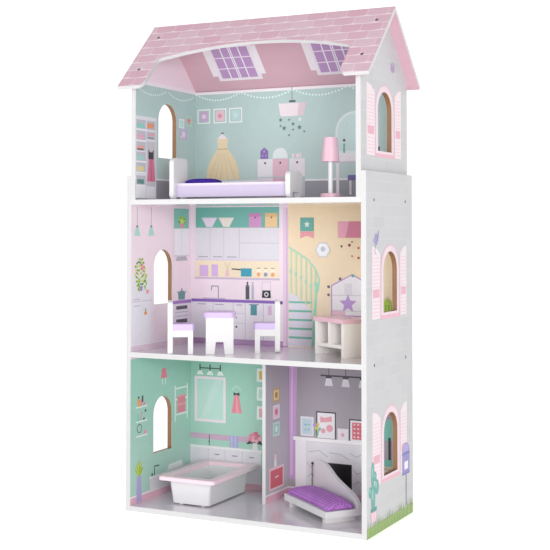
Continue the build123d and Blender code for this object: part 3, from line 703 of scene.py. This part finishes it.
for i in range(9):
    lean = (i - 4) * 2.2
    ink("#A8CF38", [(250 + lean * 0.6 - 2, 488), (250 + lean * 0.6 + 2, 488),
                    (250 + lean * 1.6, 512 - abs(lean))])
ink("#7FA92C", (238, 473, 262, 490))
ink("#B9D84A", *panes(474, 489, (241, 244), (248, 251), (256, 259)))
paste("kitchen_back_print", (0, back_face, 0), RIGHT, UP)

# ---------------------------------------------------------------- kitchen, left wall
# Two hanging lamps, a tall fridge under a trailing plant, a wall cupboard and an oven.
for across in (-120, -56):
    ink("#6F7F82", stroke((across, 681), (across, 728), 1.4))
    ink("#55605F", (across - 4, 678, across + 4, 682))
    ink("#A9DACB", [(across - 14, 657), (across + 14, 657), (across + 10, 668), (across + 5, 678),
                    (across - 5, 678), (across - 10, 668)])
ink("#E6E6EE", (-144, 394, -52, 560))
ink("#C9C8D4", (-144, 497, -52, 499))
ink("#B5B3C2", (-134, 502, -106, 504), (-134, 486, -106, 488))
leaf_greens = ("#A9C83E", "#7FAE3A", "#CBDC66", "#5A9440")
golden_turn = 2.39996       # spreads leaves and petals evenly
for i in range(46):
    turn = i * golden_turn
    spread = 4 + 3.6 * sqrt(i)
    across = -106 + spread * cos(turn) * 0.85
    up = 566 + spread * sin(turn) * 1.3
    if up > 545 or i % 3:
        ink(leaf_greens[i % 4], disc(across, up, 4.2, 0.7, 8))
for i in range(9):
    ink(leaf_greens[i % 4], disc(-112 + 3 * sin(i * 1.7), 548 - i * 3, 3.2, 1.2, 8),
        disc(-82 + 3 * cos(i * 1.3), 560 - i * 4, 3.0, 1.2, 8))
ink("#EE9AA0", star(-95, 580, 9, 6, 0.6))
ink("#9C8CC4", taper(-102, 523, 5, 534, 6))
ink("#EE9FAC", disc(-73, 520, 7, 0.8))
ink("#E89B4E", disc(-82, 468, 6.5, 0.75))
ink("#4E9A55", star(-82, 476, 4))
ink("#7FBFB2", (52, 675, 126, 726))
ink("#E58F98", taper(91, 677, 8, 688, 11))
ink(leaf_greens[2], disc(91, 694, 9, 0.8, 12))
for i in range(11):
    turn = pi * i / 10
    ink(leaf_greens[(i + 1) % 4], disc(91 + 13 * cos(turn), 692 + 12 * sin(turn), 5, 0.8, 8))
ink("#ECEAF1", (52, 606, 128, 675))
ink("#CFC9D8", (89, 606, 90.4, 674), (52, 604, 128, 606))
ink("#B6B0BE", taper(90, 592, 30, 603, 22))
ink("#5F8D94", [(76, 492), (106, 492), (108, 508), (102, 514), (80, 514), (74, 508)])
ink("#47747C", (88, 515, 94, 520), stroke((70, 513), (74, 509), 3),
    stroke((108, 509), (112, 513), 3))
ink("#A279C4", (44, 482, 138, 490))
ink("#E4DDEA", (46, 422, 137, 481.6))
ink("#4F4758", (63, 467, 119, 476), (63, 432, 119, 442))
ink("#B6AEC2", (58, 459, 124, 461), (58, 449, 124, 451))
ink("#CDB5E2", (46, 410, 137, 421.6))
ink("#E4DDEA", (46, 393, 137, 409.6))
paste("kitchen_left_print", (-inner_wall, 0, 0), BACK, UP)

# ---------------------------------------------------------------- bathroom, back wall
# A mirror under three bell lamps, a dress on its hanger, a counter with flowers and towels.
ink("#CFAEC6", (-298, 131, -30, 145))
ink("#4B5A58", (-272, 312, -208, 315))
for across in (-270, -240, -210):
    ink("#4B5A58", (across - 2, 303, across + 2, 323))
    ink("#EDF3F0", [(across - 10, 296), (across + 10, 296), (across + 7, 303), (across + 3, 307),
                    (across - 3, 307), (across - 7, 303)])
ink("#F0E3EC", (-286, 175, -194, 292))
ink("#BFE2D8", (-279, 182, -201, 285))
ink("#C9E5DD", [(-270, 182), (-250, 182), (-205, 285), (-225, 285)])
draw("#CFEBE0", 1.8, (-176, 262), (-163, 272), (-149, 262))
ink("#E9899A", [(-169, 248), (-156, 248), (-147, 203), (-177, 203)])
ink("#F0A5B2", [(-164, 247), (-161, 247), (-156, 204), (-163, 204)])
ink("#2F2C33", [(-171, 256), (-163, 253), (-154, 256), (-154, 247), (-163, 250), (-171, 247)])
ink("#E8E4EC", (-298, 30, -92, 112))
ink("#F3F1F5", (-298, 108, -90, 114))
ink("#C9C3D0", *panes(31, 107, (-246, -244.6), (-196, -194.6), (-146, -144.6)))
ink("#9D98A8", (-175, 92, -160, 95), (-226, 92, -212, 95), (-126, 92, -112, 95))
ink("#4F6A68", (-243, 115, -240.6, 143), (-246, 124, -243.4, 126.5))
ink("#AFB0DA", (-182, 115, -157, 145))
ink("#C5C4E8", *panes(116, 144, (-178, -174), (-168, -164)))
for i in range(10):
    reach = (-23 if i % 2 else 23) * (1 - 0.12 * (i // 2))
    ink("#2B3534" if i % 3 else "#44504A",
        stroke((-110, 133), (-110 + reach, 128 + 3.4 * (i // 2)), 3.6))
for i in range(14):
    turn = i * golden_turn
    ink(("#E88BA2", "#F0B3C0", "#D96E8C")[i % 3],
        disc(-110 + 4 * sqrt(i) * cos(turn), 145 + 3.2 * sqrt(i) * sin(turn), 5.5, sides=10))
ink("#F1ECF0", taper(-109, 114.5, 8, 131, 5))
for bottom, chip in ((286, "#DDBB63"), (239, "#BFE2D8"), (191, "#E9B3C0")):
    ink("#EDF3F1", (-104, bottom, -72, bottom + 34))
    ink(chip, (-98, bottom + 6, -78, bottom + 28))
paste("bathroom_back_print", (0, back_face, 0), RIGHT, UP)

# ---------------------------------------------------------------- bathroom, left wall
# Three shelves of cosmetics, a pink wall lamp, a towel ladder and a tall vase.
for up in (243, 208, 173):
    ink("#F0F5F3", (-123, up - 3, -71, up))
ink("#E8A65A", (-116, 243.5, -106, 262))
ink("#E9899A", (-104, 243.5, -96, 258), (-90, 243.5, -82, 252))
ink("#3D4A4C", (-114, 262.5, -108, 268), (-97, 252.5, -90, 268))
ink("#7ED0C4", (-116, 208.5, -108, 224))
ink("#E9899A", stroke((-102, 210), (-96, 230), 4))
ink("#3D4A4C", disc(-80, 230, 3.5), (-90, 208.5, -84, 214))
ink("#3D4A4C", disc(-107, 190, 11), disc(-107, 190, 9))
ink("#E9A3B2", (-88, 173.5, -76, 183))
ink("#E57F92", taper(6, 300, 15, 324, 9))
ink("#F1F4F3", (-3, 284, -0.5, 299.6), (12, 284, 14.5, 299.6))
ink("#EEF4F2", *panes(183, 274, (58, 63), (119, 124)))
for up in (264, 236, 198):
    ink("#EEF4F2", (63.3, up, 118.7, up + 4))
ink("#EA8798", (72, 203, 111, 248))
ink("#F2A6B2", (72, 222, 111, 226), (72, 243, 111, 248))
ink("#BDAFE0", taper(-108, 14, 12, 76, 9))
for i in range(13):
    turn = pi * (0.1 + 0.8 * i / 12)
    ink(("#B6CC22", "#D2DE4A", "#8FAE1E")[i % 3],
        stroke((-108, 76), (-108 + 19 * cos(turn), 84 + (30 - i % 3 * 7) * sin(turn)), 3))
ink("#E4E0E8", (-60, 30, 137, 62))
ink("#F1EFF4", (-62, 60, 138, 65))
draw("#3F5654", 3, (-38, 65), (-38, 88), (-16, 86))
ink("#3F5654", (-52, 65, -46, 72))
ink("#EEF3F2", [(20, 66), (100, 66), (92, 82), (30, 80)])
paste("bathroom_left_print", (-inner_wall, 0, 0), BACK, UP)

# ---------------------------------------------------------------- partition, sitting room side
# Three small pictures and a red cabinet with a vase on it.
for bottom, edge, middle, dot in ((250, "#C9A667", "#E9D3A0", "#B98D45"),
                                  (209, "#EEE0EA", "#E8CBD6", "#D9718C"),
                                  (167, "#C9E6E0", "#A5D3CA", "#D9F0EA")):
    ink(edge, (53, bottom, 90, bottom + 33))
    ink(middle, (57, bottom + 4, 86, bottom + 29))
    ink(dot, disc(71.5, bottom + 16.5, 8))
ink("#F0CFD8", (33, 38, 113, 92))
ink("#D8606F", (39, 43, 107, 86))
ink("#F3E9EC", stroke((64, 66), (84, 68), 3))
ink("#F0EEF2", taper(66, 93, 7, 112, 5))
ink("#F4D2DC", disc(66, 117, 6))
paste("partition_right_print", (partition_right, 0, 0), BACK, UP)

# ---------------------------------------------------------------- sitting room, back wall
# A marble fireplace with pictures on its mantel, a curtain and a track of spotlights.
ink("#CBA2D3", [(-14, 335), (9, 335), (6, 200), (8, 120), (15, 50), (-14, 50)])
ink("#DDBDE2", [(-8, 335), (-3, 335), (-4, 60), (-10, 60)])
ink("#3A3840", (73, 310, 216, 314))
for across in (95, 140, 185):
    ink("#3A3840", (across - 8, 306, across + 8, 311), stroke((across, 314), (across, 332), 1.6))
    ink("#DCDBE2", taper(across, 287, 11, 305.5, 7))
ink("#E8E5EC", *rim(18, 160, 54, 208, 5))
ink("#C4DAE4", (23, 165, 49, 203))
ink("#98BCCB", *panes(174, 178, (29, 34), (37, 43)), *panes(186, 190, (28, 36), (39, 44)))
for left, bottom, right, top in ((61, 155, 114, 223), (149, 154, 206, 210)):
    ink("#2E2A30", (left, bottom, right, top))
    ink("#EFEDF1", (left + 3, bottom + 3, right - 3, top - 3))
ink("#E8A6B2", [(72, 196), (104, 200), (102, 213), (84, 208), (72, 211)], disc(97, 183, 9),
    disc(80, 176, 6))
ink("#D96A78", (157, 161, 198, 202))
for i in range(16):
    ink("#F4D8DE", disc(163 + (i % 4) * 10, 167 + (i // 4) * 10, 2.6, sides=8))
ink("#ECE6EC", (118, 156, 147, 185))
ink("#DFA6BB", disc(132, 170, 4.6))
ink("#74B58C", stroke((62, 158), (60, 176), 2), stroke((63, 158), (68, 178), 2))
for across, up, chip in ((56, 188, "#B79CD8"), (65, 190, "#E3C25A"), (61, 181, "#D8D05A"),
                         (70, 180, "#8FC4A2")):
    ink(chip, star(across, up, 6, 6, 0.55))
ink("#FCFBFD", (-2, 148, 220, 157))
ink("#F6F5F8", (4, 30, 34, 148), (186, 30, 214, 148))
ink("#E9E8ED", (34.4, 30, 185.6, 147.6))
for start, bend, end in (((40, 122), (70, 127), (92, 112)), ((96, 124), (126, 122), (150, 110)),
                         ((150, 128), (168, 118), (182, 126)), ((36, 96), (46, 84), (56, 90)),
                         ((38, 60), (47, 68), (58, 64)), ((158, 88), (170, 78), (184, 84)),
                         ((160, 50), (172, 60), (184, 54))):
    draw("#B4B2BC", 1.5, start, bend, end)
ink("#17141A", (59, 30, 156, 99))
ink("#020203", (63, 30, 152, 95))
for i in range(5):
    ink("#6B4A38", stroke((78 + i * 13, 36), (92 + i * 12, 46 + (i % 2) * 5), 5))
draw("#1E1A20", 2.2, (50, 34), (50, 92))
ink("#1E1A20", disc(51, 94, 3.6))
ink("#7FC4B4", (238, 165, 262, 216), (238, 103, 262, 120))
ink("#26242A", (251, 119, 257, 172))
ink("#D9CDB2", (236, 80, 264, 103))
for i in range(10):
    ink("#B5A582", disc(240 + (i % 5) * 5, 87 + (i // 5) * 9, 2, sides=8))
paste("sitting_room_back_print", (0, back_face, 0), RIGHT, UP)


# ---------------------------------------------------------------- right walls inside
# The walls that face left carry curtains beside each window and a picture or two.
def curtained(storey, chip, shade):
    foot = floor_top[storey] / MM + window_sill
    for side in (-1, 1):
        inner, outer = side * 50, side * 68
        ink(chip, [(min(inner, outer), foot - 30), (max(inner, outer), foot - 30),
                   (max(inner, outer), foot + 150), (min(inner, outer), foot + 150)])
        ink(shade, stroke((side * 56, foot - 28), (side * 57, foot + 148), 2),
            stroke((side * 63, foot - 28), (side * 62, foot + 148), 2))
    ink("#B9A2C0", (-78, foot + 150, 78, foot + 154))
    for middle in (-108, 108):
        ink("#F1ECF1", *rim(middle - 18, foot + 60, middle + 18, foot + 104, 4))
        ink(shade, (middle - 12, foot + 66, middle + 12, foot + 98))
        ink(chip, star(middle, foot + 82, 9))


curtained(0, "#CBA2D3", "#B98CC4")
paste("sitting_room_right_print", (inner_wall, 0, 0), FRONT, UP)
curtained(1, "#B9E0D2", "#9ACDBB")
paste("kitchen_right_print", (inner_wall, 0, 0), FRONT, UP)
curtained(2, "#E9B9CC", "#DDA0BA")
paste("bedroom_right_print", (gable_inner, 0, 0), FRONT, UP)


# ---------------------------------------------------------------- outside of the side walls
# Louvred pink shutters, arched surrounds and sills on pale brick, with a garden at the foot.
def shuttered_window(floor):
    sill = floor + window_sill
    head = sill + window_rise - window_half
    ink("#ECD3DC", arched(0, sill - 6, 57, head), arched(0, sill - 0.4, 44.5, head))
    ink("#E3AFC0", arched(0, sill - 6, 61, head), arched(0, sill - 6, 58.5, head))
    ink("#E8AFC0", (-62, sill - 14, 62, sill - 6.4))
    for near, far in ((-64, -113), (64, 105)):
        low, high = min(near, far), max(near, far)
        high_end, low_end = (150, 132) if near > 0 else (132, 150)
        ink("#EDDDE3", [(low, sill - 12), (high, sill - 12), (high, sill + high_end),
                        ((low + high) / 2, sill + 146), (low, sill + low_end)])
        ink("#E9C7D1", *[(low + 5, sill - 6 + step * 8, high - 4, sill - 3.6 + step * 8)
                         for step in range(17)])
        ink("#E2A9BA", (low + 5, sill + 36, high - 4, sill + 54))


def garden():
    ink("#8C83BE", arched(98, 98, 25, 147))
    ink("#6F66A6", (72, 144, 124, 149), (74, 98, 122, 102))
    ink("#A79FD2", arched(98, 152, 18, 152))
    ink("#EDE9F2", (88, 110, 112, 128))
    ink("#7B7280", (96.5, 26, 102.5, 97.6))
    ink("#E6AFC0", taper(-107, 30, 13, 52, 17))
    ink("#F6DDE4", *panes(31, 51, (-118, -114), (-109, -105), (-100, -96)))
    for across, up, wide, tall in ((-110, 84, 12, 32), (-112, 132, 10, 30), (-127, 98, 9, 13),
                                   (-88, 104, 12, 17), (-98, 128, 8, 11)):
        ink("#5DA39B", disc(across, up, wide, tall / wide))
        ink("#86C3B8", disc(across - wide * 0.3, up + tall * 0.25, wide * 0.4, tall / wide, 12))
    ink("#4E8F88", (-124, 53, -90, 62))
    ink("#8DA95A", (-146, 0, 146, 22))
    for start, green in enumerate(("#7E9F46", "#A2BC6A", "#6B8F3C")):
        ink(green, *[[(left, 2), (left + 5, 2), (left + 2.5 + 2 * sin(left),
                                                30 + 9 * sin(left * 12.9898) + 5 * sin(left * 4.1))]
                     for left in range(-144 + start * 3, 141, 9)])


def outer_prints(word, wall, gable, across):
    for floor in (floor_top[0] / MM, floor_top[1] / MM):
        shuttered_window(floor)
    garden()
    ink("#958FC0", disc(-88, 650, 10, 1.3))
    ink("#8780B8", [(-84, 656), (-71, 672), (-76, 645)])
    ink("#A9A4CE", [(-94, 652), (-112, 650), (-98, 640)])
    draw("#7C76AE", 1.8, (-92, 638), (-98, 622), (-88, 616))
    paste(f"{word}_outer_print", (wall, 0, 0), across, UP)
    shuttered_window(floor_top[2] / MM)
    ink("#A995BE", disc(50, 1049, 13, 0.8), [(39, 1052), (36, 1062), (46, 1056)],
        [(44, 1056), (50, 1064), (56, 1056)], [(61, 1052), (65, 1063), (54, 1056)])
    paste(f"{word}_gable_outer_print", (gable, 0, 0), across, UP)


outer_prints("right", outer_wall, gable_outer, BACK)
outer_prints("left", -outer_wall, -gable_outer, FRONT)


# ---------------------------------------------------------------- painted furniture
# Sawn and routed boards under satin paint: white bodies with lilac or pink tops and seats.
def painted(name, code):
    finish = Finish(name, Coat_Weight=0.25, Coat_Roughness=0.25)
    return finish.wear(finish.mottled(code, 0.025, 35.0), 0.32 + finish.noise(120.0) * 0.12,
                       finish.noise(500.0, 4.0), 0.00006)


white_paint = painted("white_furniture_paint", "#E0DFE0")
cream_paint = painted("cream_furniture_paint", "#F8F6F3")
lilac_paint = painted("lilac_furniture_paint", "#CFB9E6")
pink_paint = painted("pink_furniture_paint", "#ECC2D0")
dress(white_paint, "bed_headboard", "bed_footboard", "lamp_pole", "table_front_panel",
      "table_rear_panel", "table_stretcher",
      *[name for name in nodes if "_chair_" in name and not name.endswith("seat")],
      *[name for name in nodes if name.startswith("chaise_") and name != "chaise_cushion"])
dress(painted("bed_base_paint", "#EAE0F0"), "bed_base_board")
dress(painted("bed_rail_paint", "#CBBEDB"), "bed_front_rail", "bed_rear_rail")
dress(lilac_paint, "table_top", "left_chair_seat", "right_chair_seat")
dress(painted("lamp_paint", "#E3B9C8"), "lamp_base", "lamp_shade")
dress(pink_paint, "sideboard_top")
dress(cream_paint, *[name for name in nodes if name.startswith("sideboard_")
                     and name != "sideboard_top"])

# ---------------------------------------------------------------- bathtub
# A glossy moulded tub with a pink rim glued on and four short feet.
gloss_white = Finish("tub_white_gloss", Coat_Weight=0.6, Coat_Roughness=0.08)
dress(gloss_white.wear(gloss_white.mottled("#E3E3E5", 0.02, 20.0),
                       0.16 + gloss_white.noise(60.0) * 0.1, gloss_white.noise(90.0), 0.00005),
      "bathtub_shell", "bathtub_feet")
gloss_pink = Finish("tub_pink_gloss", Coat_Weight=0.15, Coat_Roughness=0.2)
dress(gloss_pink.wear(gloss_pink.mottled("#FBDCE7", 0.03, 20.0),
                      0.36 + gloss_pink.noise(60.0) * 0.1, gloss_pink.noise(90.0), 0.00005),
      "bathtub_rim")


# ---------------------------------------------------------------- chaise cushion and bed pillow
# Satin covers sewn round their edge over a soft filling.  The cushion is printed with small
# dark dots; each pad is blown up like a real one and then rests on its board.
def cloth_finish(name, code, dark, node, seam_lift, dot_pitch=0.0, turn=0.0):
    """Satin with a seam low round the side.  Dots, if any, follow the cloth over the crown and
    down the sides, counted from the middle of the pad."""
    finish = Finish(name, Specular_IOR_Level=0.25)
    low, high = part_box(node)
    middle = (low + high) / 2
    weave = finish.noise(2200.0, 2.0)
    fold_relief_and_shade = finish.noise(38.0, 3.0)
    # Painted shade and highlight: the cover darkens in the hollows of the fold relief and lightens
    # on its ridges.
    colour = fold_relief_and_shade.mix(paint(dark), paint(code))
    if dot_pitch:
        east, north, drop = finish.x - middle.x, finish.y - middle.y, high.z - finish.z
        run = (abs(east * cos(turn) + north * sin(turn)) + drop) / dot_pitch
        rise = (abs(north * cos(turn) - east * sin(turn)) + drop) / dot_pitch
        row = rise.maths("FLOOR", rise)
        side = (run + row * 0.5) % 1.0 - 0.5
        up = rise - row - 0.5
        spot = (side * side + up * up) < 0.034
        colour = (spot * 0.85).mix(colour, paint("#2C1240"))
    seam = abs(finish.z - (low.z + seam_lift)) < 0.5 * MM
    colour = (seam * 0.5).mix(colour, paint(dark))
    return finish.wear(colour, 0.5 + weave * 0.2, weave + fold_relief_and_shade * 2.0 - seam * 4.0, 0.00012)


def stuffed(name, node, turn, size, voxel, cap, pressure):
    """A pad blown up from its plain solid, no point moving further than cap.
    turn is its heading and size its half length and half width.  It is crowned, and its
    sides pull in between the corners."""
    source = nodes[node]
    piece = bpy.data.objects.new(name, source.data.copy())
    bpy.context.scene.collection.objects.link(piece)
    bpy.ops.object.select_all(action="DESELECT")
    piece.select_set(True)
    bpy.context.view_layer.objects.active = piece
    low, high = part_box(node)
    middle = (low + high) / 2
    remesh = piece.modifiers.new("remesh", "REMESH")
    remesh.mode = "VOXEL"
    remesh.voxel_size = voxel
    bpy.ops.object.modifier_apply(modifier="remesh")
    run, side = Vector((cos(turn), sin(turn), 0)), Vector((-sin(turn), cos(turn), 0))
    for vertex in piece.data.vertices:
        offset = vertex.co - middle
        along = max(min(offset.dot(run) / size[0], 1.0), -1.0)
        aside = max(min(offset.dot(side) / size[1], 1.0), -1.0)
        crown = 0.3 + 0.7 * ((1 - along ** 4) * (1 - abs(aside) ** 3)) ** 0.6
        vertex.co -= run * size[0] * along * 0.012 * (1 - aside ** 2)
        vertex.co -= side * size[1] * aside * 0.06 * (1 - along ** 2)
        vertex.co.z = low.z + (vertex.co.z - low.z) * crown
    rest = [vertex.co.copy() for vertex in piece.data.vertices]
    cloth = piece.modifiers.new("cloth", "CLOTH")
    cloth.settings.use_pressure = True
    cloth.settings.uniform_pressure_force = pressure
    cloth.settings.effector_weights.gravity = 0
    cloth.settings.mass = 0.05
    scene = bpy.context.scene
    for step in range(1, 21):
        scene.frame_set(step)
    bpy.ops.object.modifier_apply(modifier="cloth")
    scene.frame_set(1)
    floor = low.z
    for vertex, start in zip(piece.data.vertices, rest):
        moved = vertex.co - start
        if moved.length > cap:
            vertex.co = start + moved * (cap / moved.length)
        vertex.co.z = max(vertex.co.z, floor)
    smooth = piece.modifiers.new("smooth", "SUBSURF")
    smooth.levels = smooth.render_levels = 1
    bpy.ops.object.modifier_apply(modifier="smooth")
    bpy.ops.object.shade_smooth()
    piece.select_set(False)
    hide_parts(node)
    return piece


chaise_turn = radians(-38.9)
cushion = stuffed("chaise_cushion_pad", "chaise_cushion", chaise_turn, (0.1045, 0.0375),
                  2.0 * MM, 2.5 * MM, 4.0)
cushion.data.materials.clear()
cushion.data.materials.append(cloth_finish("purple_satin_cloth", "#C487D4", "#A266BA",
                                           "chaise_cushion", 3 * MM, 9 * MM, chaise_turn))
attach(cushion, "cushion")

pillow = stuffed("bed_pillow_pad", "bed_pillow", 0.0, (0.045, 0.015), 1.5 * MM, 1.5 * MM, 4.0)
pillow.data.materials.clear()
pillow.data.materials.append(cloth_finish("indigo_cloth_cover", "#3E1C9A", "#2A1178",
                                          "bed_pillow", 2 * MM))
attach(pillow, "pillow")

# ---------------------------------------------------------------- studio sweep
# A plain pale floor that curves up into the backdrop behind the house.
bpy.ops.mesh.primitive_grid_add(x_subdivisions=1, y_subdivisions=60, size=2.0)
sweep = bpy.context.active_object
sweep.name = "studio_sweep"
bend_start, bend_radius = 2.5, 2.0
for vertex in sweep.data.vertices:
    along = -6.0 + 7.0 * (vertex.co.y + 1)
    bend = min(max((along - bend_start) / bend_radius, 0.0), pi / 2)
    rest = max(along - bend_start - bend_radius * pi / 2, 0.0)
    vertex.co = (vertex.co.x * 9.0, min(along, bend_start) + bend_radius * sin(bend),
                 bend_radius * (1 - cos(bend)) + rest)
bpy.ops.object.shade_smooth()
sweep_look = Finish("studio_sweep_paint", Roughness=0.8, Emission_Color=(1, 1, 1, 1),
                    Emission_Strength=0.52)
sweep.data.materials.append(sweep_look.wear(sweep_look.mottled("#F0F0F0", 0.01, 2.0)))
